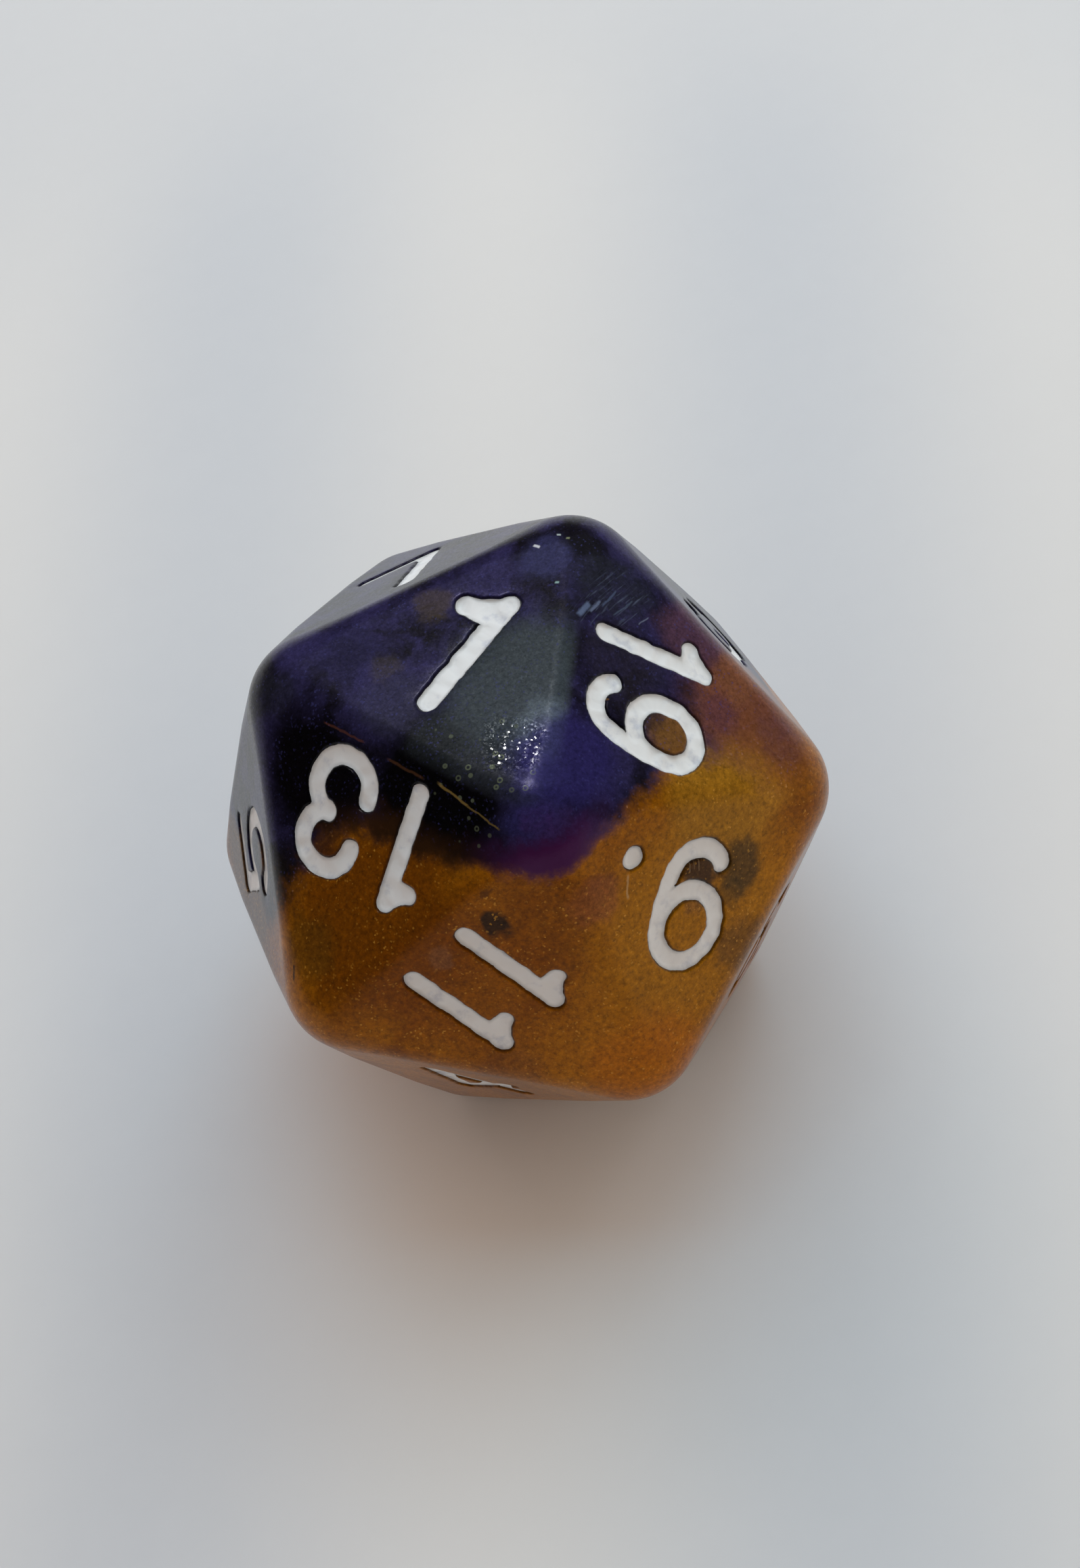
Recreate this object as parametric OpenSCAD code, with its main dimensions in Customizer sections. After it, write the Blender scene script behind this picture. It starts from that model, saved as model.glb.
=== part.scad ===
// Twenty-sided gaming die, cast in resin, with engraved numerals filled with ink.
// The die rests on the face numbered 20 with the 1 on top. The origin is the centre of
// the resting face, +Z points up through the 1, and -Y points at the corner shared by
// faces 1, 9, 11, 13 and 19.

/* [Die] */
// Distance between opposite faces
across_flats = 20; // [18:0.5:24]
// Rounding radius along the thirty edges
edge_r = 1.5; // [0.8:0.1:2]
// Rounding radius at the twelve corners, which tumbling leaves blunter than the edges
corner_r = 2.6; // [2:0.1:3.2]
// Part of an edge, from each end, over which its rounding widens into the corner
corner_blend = 0.27; // [0.2:0.01:0.35]

/* [Numerals] */
// Height of a numeral that stands alone on its face
solo_h = 4.9; // [4:0.1:5.2]
// Width of a numeral that stands alone
solo_w = 3.35; // [2.6:0.05:3.6]
// Height of the lone 1, which is cut taller than the rest
lone_one_h = 5.4; // [4.5:0.1:5.8]
// Height of the numerals in a pair
pair_h = 4.85; // [4:0.1:5]
// Width over both numerals of a pair
pair_w = 5.7; // [5.2:0.1:5.8]
// Clear gap between a 1 and the numeral after it
pair_gap = 1.15; // [0.8:0.05:1.3]
// Width of an engraved stroke
stroke_w = 0.76; // [0.6:0.02:0.85]
// Depth of the engraving below the face
engrave_depth = 0.5; // [0.35:0.05:0.8]
// Depth of the ink's surface below the face
ink_recess = 0.1; // [0.05:0.01:0.2]
// Diameter of the dot that tells 6 from 9
dot_d = 0.88; // [0.7:0.02:1]

/* [Hidden] */

FACES = 20;
CORNERS = 12;
inradius = across_flats / 2;
// Edge length of the sharp icosahedron with this inradius
golden = (1 + sqrt(5)) / 2;
edge = inradius * 2 * sqrt(3) / (golden * golden);
// Rings of corners seen along Z with a face on top: the face's own three, then three lower
// ones. The lower half is the upper half reflected through the centre.
upper_ring_r = edge / sqrt(3);
lower_ring_r = golden * upper_ring_r;
lower_ring_z = inradius * (sqrt(5) - 2);
upper_corners = concat(
    [for (k = [0 : 2]) ring_point(upper_ring_r, 120 * k - 90, inradius)],
    [for (k = [0 : 2]) ring_point(lower_ring_r, 120 * k - 30, lower_ring_z)]
);
corners = concat(upper_corners, [for (p = upper_corners) -p]);

// Numbering. Each row holds a value and the three corners of its face, and the numeral's
// top points at the first of them. Opposite faces add up to 21, so the ten other faces
// are these reflected through the centre.
NUMBERING = [
    [1, [1, 0, 2]], [3, [11, 1, 3]], [4, [5, 10, 7]], [5, [9, 5, 2]], [6, [3, 10, 8]],
    [7, [4, 1, 2]], [9, [10, 0, 3]], [11, [10, 0, 5]], [13, [5, 0, 2]], [19, [3, 0, 1]]
];

// Places of the middle of a numeral, from the middle of its face
solo_place = [-0.05, 0.12];
lone_one_place = [-0.57, 0.37];
pair_y = -0.48;
// Place of the dot beside a 6 or a 9
dot_place = [2.65, -1.95];
// Flag of a 1 as parts of the height: its reach left of the stem, on its own and in a
// pair, and its drop below the top
lone_reach = 0.244;
pair_reach = 0.165;
flag_drop = 0.13;
// Radius of the hollow along the top of the flag
flag_hollow_r = 1.6;
// Height of the bowl of a 6 or a 9, as part of the height
bowl_part = 0.615;
// Clear gap between the two wide digits of a pair such as 20
wide_gap = 0.75;
// Strokes end in balls slightly wider than the stroke
ball_d = stroke_w * 1.05;
// Height by which the cutters stand out of the face
cutter_clear = 1;
// Thickness of the plates that set the flat faces
plate = 1;

function ring_point(r, angle, z) = [r * cos(angle), r * sin(angle), z];
function unit(v) = v / norm(v);
function mean3(p) = (p[0] + p[1] + p[2]) / 3;
function opposite(corner_ids) = [for (i = corner_ids) (i + CORNERS / 2) % CORNERS];
function listed(value) = [for (row = NUMBERING) if (row[0] == value) row[1]];
function face_corner_ids(value) =
    len(listed(value)) > 0 ? listed(value)[0] : opposite(listed(FACES + 1 - value)[0]);
function face_corners(value) = [for (i = face_corner_ids(value)) corners[i]];

// Moves the XY plane onto a face: Z out of the die, Y towards the numeral's top
module on_face(value) {
    pts = face_corners(value);
    middle = mean3(pts);
    out = unit(middle);
    up = unit(pts[0] - middle);
    right = cross(up, out);
    translate([0, 0, inradius])
        multmatrix([
            [right[0], up[0], out[0], middle[0]],
            [right[1], up[1], out[1], middle[1]],
            [right[2], up[2], out[2], middle[2]],
            [0, 0, 0, 1]
        ])
            children();
}

// ---- Strokes of the numerals, as flat shapes ----

module ball(p) {
    translate(p) circle(d = ball_d, $fn = 48);
}

// Straight stroke from a to b
module bar(a, b) {
    run = b - a;
    ball(a);
    ball(b);
    translate(a)
        rotate(atan2(run[1], run[0]))
            translate([0, -stroke_w / 2])
                square([norm(run), stroke_w]);
}

// Curved stroke round c, anticlockwise from angle a0 to angle a1
module arc(c, r, a0, a1) {
    steps = ceil((a1 - a0) / 45);
    reach = 2 * (r + stroke_w);
    translate(c) {
        intersection() {
            difference() {
                circle(r = r + stroke_w / 2, $fn = 96);
                circle(r = r - stroke_w / 2, $fn = 96);
            }
            polygon(concat(
                [[0, 0]],
                [for (i = [0 : steps]) let (t = a0 + (a1 - a0) * i / steps)
                    reach * [cos(t), sin(t)]]
            ));
        }
        for (t = [a0, a1])
            ball(r * [cos(t), sin(t)]);
    }
}

module ring(c, r) {
    translate(c)
        difference() {
            circle(r = r + stroke_w / 2, $fn = 96);
            circle(r = r - stroke_w / 2, $fn = 96);
        }
}

// ---- Digits. Each is centred, w by h over its strokes' middle lines ----

module zero(w, h) {
    r = w / 2;
    side = h / 2 - r;
    arc([0, side], r, 0, 180);
    arc([0, -side], r, 180, 360);
    for (x = [-r, r])
        bar([x, -side], [x, side]);
}

// Stem on the right and the tip of the flag on the left, reach apart. The flag's top edge
// is hollowed from one ball to the other.
module one(reach, h) {
    top = [reach / 2, h / 2];
    tip = [-reach / 2, h / 2 - flag_drop * (h + stroke_w)];
    slope = unit(top - tip);
    rise = sqrt(pow(flag_hollow_r + stroke_w / 2, 2) - pow(norm(top - tip) / 2, 2));
    hollow = (tip + top) / 2 + [-slope[1], slope[0]] * rise;
    from_top = top - hollow;
    from_tip = tip - hollow;
    a0 = atan2(from_top[1], from_top[0]);
    a1 = atan2(from_tip[1], from_tip[0]);
    steps = 12;
    bar([top[0], -h / 2], top);
    bar(tip, [top[0], tip[1]]);
    polygon(concat(
        [tip, [top[0], tip[1]], top],
        [for (i = [0 : steps]) let (t = a0 + (a1 - a0) * i / steps)
            hollow + flag_hollow_r * [cos(t), sin(t)]]
    ));
}

module two(w, h) {
    r = w / 2;
    bowl = [0, h / 2 - r];
    bend = bowl + r * [cos(-35), sin(-35)];
    foot = [-w / 2, -h / 2];
    arc(bowl, r, -35, 165);
    bar(bend, foot);
    bar(foot, [w / 2, -h / 2]);
}

// Two bowls, the lower one as wide as the digit, that meet at the waist
module three(w, h) {
    low_r = max(w / 2, h * 0.26);
    top_r = max(low_r * 0.92, h / 2 - low_r);
    rise = h - low_r - top_r;
    drop = (rise * rise + top_r * top_r - low_r * low_r) / (2 * rise);
    meet_x = sqrt(max(0, top_r * top_r - drop * drop));
    cusp_x = max(meet_x, h * 0.07);
    waist = [cusp_x, h / 2 - top_r - drop];
    arc([0, h / 2 - top_r], top_r, -acos(cusp_x / top_r), 183);
    arc([0, low_r - h / 2], low_r, -183, acos(cusp_x / low_r));
    bar([h * 0.07 - 0.01, waist[1]], waist);
}

module four(w, h) {
    stem_x = w * 0.22;
    cross_y = -h * 0.2;
    bar([stem_x, -h / 2], [stem_x, h / 2]);
    bar([stem_x, h / 2], [-w / 2, cross_y]);
    bar([-w / 2, cross_y], [w / 2, cross_y]);
}

module five(w, h) {
    r = w / 2;
    bowl = [0, r - h / 2];
    shoulder = bowl + r * [cos(142), sin(142)];
    head = [-w * 0.42, h / 2];
    arc(bowl, r, -155, 142);
    bar(shoulder, head);
    bar(head, [w * 0.42, h / 2]);
}

module six(w, h) {
    rotate(180) nine(w, h);
}

module seven(w, h) {
    knee = [w / 2, h / 2];
    bar([-w / 2, h / 2], knee);
    bar(knee, [-w * 0.12, -h / 2]);
}

// An 8 takes its width from its height
module eight(h) {
    small_r = h * 0.23;
    big_r = h / 2 - small_r;
    ring([0, h / 2 - small_r], small_r);
    ring([0, big_r - h / 2], big_r);
}

// Round bowl above; its right side runs on down as one long arc into a hook
module nine(w, h) {
    r = w / 2;
    bowl_h = max(w + 0.02, bowl_part * h);
    bowl_top = h / 2 - r;
    bowl_low = h / 2 - bowl_h + r;
    hook_r = r * 0.9;
    hook = [-w * 0.1, hook_r - h / 2];
    reach = r - hook[0];
    fall = bowl_low - hook[1];
    side_r = (reach * reach + fall * fall - hook_r * hook_r) / (2 * (reach - hook_r));
    turn = -asin(fall / (side_r - hook_r));
    arc([0, bowl_top], r, 0, 180);
    arc([0, bowl_low], r, 180, 360);
    for (x = [-r, r])
        bar([x, bowl_low], [x, bowl_top]);
    arc([r - side_r, bowl_low], side_r, turn, 0);
    arc(hook, hook_r, -155, turn);
}

module digit(d, w, h) {
    if (d == 0) zero(w, h);
    if (d == 1) one(w, h);
    if (d == 2) two(w, h);
    if (d == 3) three(w, h);
    if (d == 4) four(w, h);
    if (d == 5) five(w, h);
    if (d == 6) six(w, h);
    if (d == 7) seven(w, h);
    if (d == 8) eight(h);
    if (d == 9) nine(w, h);
}

// ---- Numerals on their faces ----

function line(size) = size - stroke_w;
// Width of a digit of a pair over its strokes' middle lines
function pair_digit_w(d, wide) = d == 1 ? pair_reach * pair_h : wide;

module solo(d) {
    h = d == 1 ? lone_one_h : solo_h;
    w = d == 1 ? lone_reach * h : line(solo_w);
    place = d == 1 ? lone_one_place : solo_place;
    translate(place) digit(d, w, line(h));
    if (d == 6 || d == 9)
        translate(dot_place) circle(d = dot_d, $fn = 48);
}

module pair(tens, units) {
    gap = tens == 1 ? pair_gap : wide_gap;
    ones = (tens == 1 ? 1 : 0) + (units == 1 ? 1 : 0);
    room = pair_w - gap - 2 * stroke_w;
    wide = ones == 0 ? room / 2 : room - pair_reach * pair_h;
    tens_w = pair_digit_w(tens, wide);
    units_w = pair_digit_w(units, wide);
    spread = tens_w + units_w + gap + 2 * stroke_w;
    translate([(tens_w + stroke_w - spread) / 2, pair_y]) digit(tens, tens_w, line(pair_h));
    translate([(spread - units_w - stroke_w) / 2, pair_y]) digit(units, units_w, line(pair_h));
}

module numeral_shape(value) {
    if (value < 10) solo(value);
    else pair(floor(value / 10), value % 10);
}

module cutter(value) {
    on_face(value)
        translate([0, 0, -engrave_depth])
            linear_extrude(height = engrave_depth + cutter_clear)
                numeral_shape(value);
}

module ink(value) {
    color("white")
        on_face(value)
            translate([0, 0, -engrave_depth])
                linear_extrude(height = engrave_depth - ink_recess)
                    numeral_shape(value);
}

// ---- Body ----

// Corner of a face moved in to where its rounding of radius r begins
function flat_corner(r, turn) =
    upper_ring_r * (inradius - r) / inradius * [cos(turn), sin(turn)];

// Outline of the flat part of a face: the start of each corner's rounding, and two points
// on each edge between which the rounding keeps the edge radius
function flat_outline() = [
    for (k = [0 : 2])
        let (
            here = flat_corner(edge_r, 90 + 120 * k),
            next = flat_corner(edge_r, 210 + 120 * k)
        )
        each [
            flat_corner(corner_r, 90 + 120 * k),
            here + (next - here) * corner_blend,
            next + (here - next) * corner_blend
        ]
];

// Point on an edge, shrunk to the middle line of the edge's rounding
function edge_point(a, b, part) = (a + (b - a) * part) * (inradius - edge_r) / inradius;

module blank() {
    hull() {
        for (value = [1 : FACES])
            on_face(value)
                translate([0, 0, -plate])
                    linear_extrude(height = plate)
                        polygon(flat_outline());
        translate([0, 0, inradius]) {
            for (p = corners)
                translate(p * (inradius - corner_r) / inradius)
                    sphere(r = corner_r, $fn = 40);
            for (i = [0 : CORNERS - 2], j = [i + 1 : CORNERS - 1])
                if (norm(corners[i] - corners[j]) < edge * 1.01)
                    for (part = [corner_blend, 1 - corner_blend])
                        translate(edge_point(corners[i], corners[j], part))
                            sphere(r = edge_r, $fn = 40);
        }
    }
}

module die_body() {
    color("darkgoldenrod")
        difference() {
            blank();
            for (value = [1 : FACES])
                cutter(value);
        }
}

die_body();
ink(1);  // numeral_1
ink(2);  // numeral_2
ink(3);  // numeral_3
ink(4);  // numeral_4
ink(5);  // numeral_5
ink(6);  // numeral_6
ink(7);  // numeral_7
ink(8);  // numeral_8
ink(9);  // numeral_9
ink(10);  // numeral_10
ink(11);  // numeral_11
ink(12);  // numeral_12
ink(13);  // numeral_13
ink(14);  // numeral_14
ink(15);  // numeral_15
ink(16);  // numeral_16
ink(17);  // numeral_17
ink(18);  // numeral_18
ink(19);  // numeral_19
ink(20);  // numeral_20
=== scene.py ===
"""A twenty-sided resin die with ink-filled numerals, on a pale sheet under soft light."""
from collections import Counter
import math

import bpy
import numpy as np
from mathutils import Matrix, Vector
from mathutils.geometry import delaunay_2d_cdt


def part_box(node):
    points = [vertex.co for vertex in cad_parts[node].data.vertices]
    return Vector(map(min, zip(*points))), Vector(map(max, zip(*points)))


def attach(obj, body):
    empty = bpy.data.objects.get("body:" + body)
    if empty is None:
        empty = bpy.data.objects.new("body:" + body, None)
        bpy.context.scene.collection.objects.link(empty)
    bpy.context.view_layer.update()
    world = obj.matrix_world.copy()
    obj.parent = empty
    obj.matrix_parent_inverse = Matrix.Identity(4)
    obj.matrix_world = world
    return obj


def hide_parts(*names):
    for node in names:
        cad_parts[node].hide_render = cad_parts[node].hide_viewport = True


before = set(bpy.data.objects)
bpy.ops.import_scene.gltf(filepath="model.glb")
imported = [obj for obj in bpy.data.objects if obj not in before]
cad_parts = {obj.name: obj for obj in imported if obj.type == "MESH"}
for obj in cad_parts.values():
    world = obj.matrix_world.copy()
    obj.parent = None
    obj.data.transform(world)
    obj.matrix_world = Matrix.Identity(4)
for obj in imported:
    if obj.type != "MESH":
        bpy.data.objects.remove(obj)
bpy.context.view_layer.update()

# ---------------------------------------------------------------- the die, in millimetres
# Coordinates are measured from the die's centre unless a name says otherwise.

MM = 0.001
TINY, FAR = 1e-9, 1e9
BODY_LOW, BODY_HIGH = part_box("die_body")
IN_R = (BODY_HIGH[2] - BODY_LOW[2]) / MM / 2    # from the centre to the middle of a face
CENTRE = np.array([0, 0, BODY_LOW[2] / MM + IN_R])

GOLDEN = (1 + math.sqrt(5)) / 2
EDGE = IN_R * 2 * math.sqrt(3) / GOLDEN ** 2
RING_R = EDGE / math.sqrt(3)    # from the middle of a sharp face to its corners
EDGE_R = 1.5
CORNER_R = 2.6
CORNER_BLEND = 0.27    # part of an edge over which the corner's radius becomes the edge's

FACE_COUNT = 20
CORNER_COUNT = 12
FACES = range(1, FACE_COUNT + 1)
# Corners of ten faces, the one above the numeral first. The other faces lie opposite.
NUMBERING = {
    1: (1, 0, 2), 3: (11, 1, 3), 4: (5, 10, 7), 5: (9, 5, 2), 6: (3, 10, 8),
    7: (4, 1, 2), 9: (10, 0, 3), 11: (10, 0, 5), 13: (5, 0, 2), 19: (3, 0, 1),
}
for value in list(NUMBERING):
    NUMBERING[FACE_COUNT + 1 - value] = tuple(
        (i + CORNER_COUNT // 2) % CORNER_COUNT for i in NUMBERING[value])


def ring_point(r, angle, z):
    a = math.radians(angle)
    return np.array([r * math.cos(a), r * math.sin(a), z])


def make_corners():
    """Corners of the sharp icosahedron: six upper ones, then the ones opposite to them."""
    upper = [ring_point(RING_R, 120 * k - 90, IN_R) for k in range(3)]
    lower_z = IN_R * (math.sqrt(5) - 2)
    upper += [ring_point(GOLDEN * RING_R, 120 * k - 30, lower_z) for k in range(3)]
    return np.array(upper + [-p for p in upper])


CORNERS = make_corners()


def face_axes(value):
    """Middle of a face, and its right, up and outward directions as rows."""
    pts = CORNERS[list(NUMBERING[value])]
    middle = pts.mean(axis=0)
    out = middle / np.linalg.norm(middle)
    up = pts[0] - middle
    up = up / np.linalg.norm(up)
    return middle, np.array([np.cross(up, out), up, out])


def on_face(value, x, y, z=0.0):
    middle, axes = face_axes(value)
    return middle + np.array([x, y, z]) @ axes


def to_metres(points):
    return (np.asarray(points) + CENTRE) * MM


# ---------------------------------------------------------------- unevenness of the shapes
# Seed, wavelength and size of each kind. A face's number is added to the seed.

OUTLINE_WOBBLE = (100, 0.9, 0.012)
OUTLINE_GRAIN = (200, 0.25, 0.004)
INK_RAGGED = (300, 0.35, 0.0035)
INK_LUMPS = (400, 0.9, 0.016)
INK_GRAIN = (500, 0.3, 0.005)
WAVES = 24


class Ripple:
    """Smooth noise over one face, made of seeded plane waves."""

    def __init__(self, value, seed, wavelength, size):
        rng = np.random.default_rng(seed + value)
        turn = rng.normal(size=(WAVES, 2))
        turn /= np.linalg.norm(turn, axis=1, keepdims=True)
        stretch = rng.uniform(0.6, 1.8, size=(WAVES, 1))
        self.k = turn * stretch * 2 * math.pi / wavelength
        self.phase = rng.uniform(0, 2 * math.pi, WAVES)
        self.size = size * math.sqrt(2 / WAVES)

    def __call__(self, p):
        return self.size * np.cos(p @ self.k.T + self.phase).sum(axis=-1)


# ---------------------------------------------------------------- numerals as distances
# LONE stands for a numeral of one digit, PAIR for one of two. Heights and widths are taken
# over the strokes.

STROKE = 0.38    # half the width of a stroke
FILLET = 0.05    # softening of the corners where strokes meet
LONE_H, LONE_W, LONE_ONE_H = 4.9, 3.35, 5.4
PAIR_H, PAIR_W, PAIR_GAP, WIDE_GAP = 4.85, 5.7, 1.15, 0.75
LONE_PLACE, LONE_ONE_PLACE, PAIR_Y = (-0.05, 0.12), (-0.57, 0.37), -0.48
DOT_PLACE, DOT_R = (2.65, -1.95), 0.44
# How far a 1's flag drops and reaches out, as parts of its height
FLAG_DROP, LONE_REACH, PAIR_REACH = 0.13, 0.244, 0.165


def bar(p, a, b, ra=STROKE, rb=STROKE, waist=0.0):
    """Distance to a straight stroke, less its half-width, which may vary along it."""
    a, b = np.array(a, float), np.array(b, float)
    run = b - a
    t = np.clip(((p - a) @ run) / max(run @ run, TINY), 0, 1)
    gap = p - (a + t[..., None] * run)
    return np.hypot(gap[..., 0], gap[..., 1]) - (ra + (rb - ra) * t - waist * 4 * t * (1 - t))


def arc(p, c, r, a0, a1):
    """Distance to a curved stroke that runs anticlockwise from angle a0 to a1."""
    q = p - np.array(c, float)
    mid, half = math.radians((a0 + a1) / 2), math.radians((a1 - a0) / 2)
    turn = np.arctan2(q[..., 1], q[..., 0]) - mid
    turn = np.abs((turn + math.pi) % (2 * math.pi) - math.pi)
    ends = [np.hypot(q[..., 0] - r * math.cos(mid + s * half),
                     q[..., 1] - r * math.sin(mid + s * half)) for s in (-1, 1)]
    along = np.abs(np.hypot(q[..., 0], q[..., 1]) - r)
    return np.where(turn <= half, along, np.minimum(*ends)) - STROKE


def join(*parts):
    """Union of strokes, with the inner corners softened."""
    total = parts[0]
    for part in parts[1:]:
        h = np.clip(0.5 + 0.5 * (part - total) / FILLET, 0, 1)
        total = part + (total - part) * h - FILLET * h * (1 - h)
    return total


def polar(c, r, angle):
    return (c[0] + r * math.cos(math.radians(angle)), c[1] + r * math.sin(math.radians(angle)))


# Each digit stands round the origin. w and h are measured along the middles of its strokes.


def zero(p, w, h):
    r, side = w / 2, h / 2 - w / 2
    return join(arc(p, (0, side), r, 0, 180), arc(p, (0, -side), r, 180, 360),
                bar(p, (-r, -side), (-r, side)), bar(p, (r, -side), (r, side)))


def one(p, w, h):
    top = np.array([w / 2, h / 2])
    tip = np.array([-w / 2, h / 2 - FLAG_DROP * (h + 2 * STROKE)])
    # Half-widths of the stem and of the flag's tip, and how much the flag narrows between them
    stem, blob, dip = (0.42, 0.43, 0.14) if w > 1 else (0.37, 0.33, 0.08)
    return join(bar(p, (w / 2, -h / 2), top, stem, stem + 0.01),
                bar(p, tip, top, blob, stem, dip),
                bar(p, tip, (w / 2, tip[1]), blob, stem))


def two(p, w, h):
    r = w / 2
    bowl = (0, h / 2 - r)
    foot, tail = (-w / 2, -h / 2), -35
    return join(arc(p, bowl, r, tail, 165), bar(p, polar(bowl, r, tail), foot),
                bar(p, foot, (w / 2, -h / 2)))


def three(p, w, h):
    low_r = max(w / 2, h * 0.26)
    top_r = max(low_r * 0.92, h / 2 - low_r)
    rise = h - low_r - top_r
    drop = (rise ** 2 + top_r ** 2 - low_r ** 2) / (2 * rise)
    cusp = max(math.sqrt(max(0, top_r ** 2 - drop ** 2)), h * 0.07)
    waist = (cusp, h / 2 - top_r - drop)
    upper_end = -math.degrees(math.acos(cusp / top_r))
    lower_end = math.degrees(math.acos(cusp / low_r))
    return join(arc(p, (0, h / 2 - top_r), top_r, upper_end, 183),
                arc(p, (0, low_r - h / 2), low_r, -183, lower_end),
                bar(p, (h * 0.07, waist[1]), (waist[0] + 0.01, waist[1])))


def four(p, w, h):
    x, y = w * 0.22, -h * 0.2
    return join(bar(p, (x, -h / 2), (x, h / 2)), bar(p, (x, h / 2), (-w / 2, y)),
                bar(p, (-w / 2, y), (w / 2, y)))


def five(p, w, h):
    r = w / 2
    bowl, neck = (0, r - h / 2), 142
    head = (-w * 0.42, h / 2)
    return join(arc(p, bowl, r, -155, neck), bar(p, polar(bowl, r, neck), head),
                bar(p, head, (-head[0], h / 2)))


def six(p, w, h):
    return nine(-p, w, h)


def seven(p, w, h):
    knee = (w / 2, h / 2)
    return join(bar(p, (-w / 2, h / 2), knee), bar(p, knee, (-w * 0.12, -h / 2)))


def eight(p, w, h):
    small = h * 0.23
    big = h / 2 - small
    return join(arc(p, (0, h / 2 - small), small, -180, 180),
                arc(p, (0, big - h / 2), big, -180, 180))


def nine(p, w, h):
    r = w / 2
    bowl_h = max(w + 0.02, 0.615 * h)
    high, low = h / 2 - r, h / 2 - bowl_h + r
    hook_r = r * 0.9
    hook = (-w * 0.1, hook_r - h / 2)
    reach, fall = r - hook[0], low - hook[1]
    side_r = (reach ** 2 + fall ** 2 - hook_r ** 2) / (2 * (reach - hook_r))
    turn = -math.degrees(math.asin(fall / (side_r - hook_r)))
    return join(arc(p, (0, high), r, 0, 180), arc(p, (0, low), r, 180, 360),
                bar(p, (-r, low), (-r, high)), bar(p, (r, low), (r, high)),
                arc(p, (r - side_r, low), side_r, turn, 0), arc(p, hook, hook_r, -155, turn))


DIGITS = (zero, one, two, three, four, five, six, seven, eight, nine)


def numeral(value, p):
    """Distance in the face's plane to the numeral's outline, negative inside a stroke."""
    thick = 2 * STROKE
    tens, units = divmod(value, 10)
    if not tens:
        h = LONE_ONE_H if value == 1 else LONE_H
        w = LONE_REACH * h if value == 1 else LONE_W - thick
        place = LONE_ONE_PLACE if value == 1 else LONE_PLACE
        shape = DIGITS[value](p - np.array(place), w, h - thick)
        if value in (6, 9):
            gap = p - np.array(DOT_PLACE)
            shape = np.minimum(shape, np.hypot(gap[..., 0], gap[..., 1]) - DOT_R)
        return shape
    gap = PAIR_GAP if tens == 1 else WIDE_GAP
    narrow = PAIR_REACH * PAIR_H
    room = PAIR_W - gap - 2 * thick
    wide = room / 2 if 1 not in (tens, units) else room - narrow
    tens_w, units_w = (narrow if d == 1 else wide for d in (tens, units))
    spread = tens_w + units_w + gap + 2 * thick
    left = np.array([(tens_w + thick - spread) / 2, PAIR_Y])
    right = np.array([(spread - units_w - thick) / 2, PAIR_Y])
    return np.minimum(DIGITS[tens](p - left, tens_w, PAIR_H - thick),
                      DIGITS[units](p - right, units_w, PAIR_H - thick))


# ---------------------------------------------------------------- outlines at a given distance

SAMPLE = 0.08    # pitch of the grid on which outlines are found
REACH = 3.6    # half its width
MIN_CROSSINGS, MIN_POINTS = 6, 8    # a loop with fewer crossings is left out
REFINEMENTS = 2
MIN_STEEPNESS = 0.2    # of the field, squared, when points are pulled onto an outline
PROBE = 0.004    # how far to each side a slope is measured


def gradient(field, p):
    dx, dy = np.array([PROBE, 0]), np.array([0, PROBE])
    return np.stack([field(p + dx) - field(p - dx), field(p + dy) - field(p - dy)],
                    axis=-1) / (2 * PROBE)


def crossings(d):
    """Edges of the grid that the outline d == 0 cuts, each with its two neighbours."""
    links = {}
    inside = d < 0
    mixed = inside[:-1, :-1].astype(int) + inside[1:, :-1] + inside[:-1, 1:] + inside[1:, 1:]
    for i, j in np.argwhere((mixed > 0) & (mixed < 4)):
        around = [(i, j), (i + 1, j), (i + 1, j + 1), (i, j + 1)]
        cuts = []
        for a, b in zip(around, around[1:] + around[:1]):
            if inside[a] != inside[b]:
                cuts.append(tuple(sorted((tuple(map(int, a)), tuple(map(int, b))))))
        # Two outlines in one cell go round its outside corners
        if len(cuts) == 4 and not inside[i, j]:
            cuts = cuts[1:] + cuts[:1]
        for a, b in zip(cuts[::2], cuts[1::2]):
            links.setdefault(a, []).append(b)
            links.setdefault(b, []).append(a)
    return links


def chains(links):
    """Closed walks from neighbour to neighbour."""
    found, unused = [], set(links)
    while unused:
        start = min(unused)
        chain, last, here = [start], None, start
        while True:
            unused.discard(here)
            onward = [c for c in links[here] if c != last]
            last, here = here, onward[0]
            if here == start:
                break
            chain.append(here)
        found.append(chain)
    return found


def contour_loops(field, level, spacing):
    """Closed outlines where field(p) == level, resampled evenly."""
    ticks = np.linspace(-REACH, REACH, int(2 * REACH / SAMPLE) + 1)
    grid = np.stack(np.meshgrid(ticks, ticks, indexing="ij"), axis=-1)
    d = field(grid) - level
    d[d == 0] = TINY

    def place(cut):
        a, b = cut
        t = d[a] / (d[a] - d[b])
        return grid[a] * (1 - t) + grid[b] * t

    loops = []
    for chain in chains(crossings(d)):
        if len(chain) < MIN_CROSSINGS:
            continue
        pts = np.array([place(cut) for cut in chain])
        closed = np.vstack([pts, pts[:1]])
        steps = np.linalg.norm(np.diff(closed, axis=0), axis=1)
        length = np.concatenate([[0], np.cumsum(steps)])
        count = max(MIN_POINTS, int(round(length[-1] / spacing)))
        at = np.linspace(0, length[-1], count, endpoint=False)
        pts = np.stack([np.interp(at, length, closed[:, k]) for k in (0, 1)], axis=-1)
        for _ in range(REFINEMENTS):
            grad = gradient(field, pts)
            steepness = np.maximum((grad ** 2).sum(axis=-1, keepdims=True), MIN_STEEPNESS)
            pts = pts - (field(pts) - level)[:, None] * grad / steepness
        loops.append(pts)
    return loops


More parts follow.
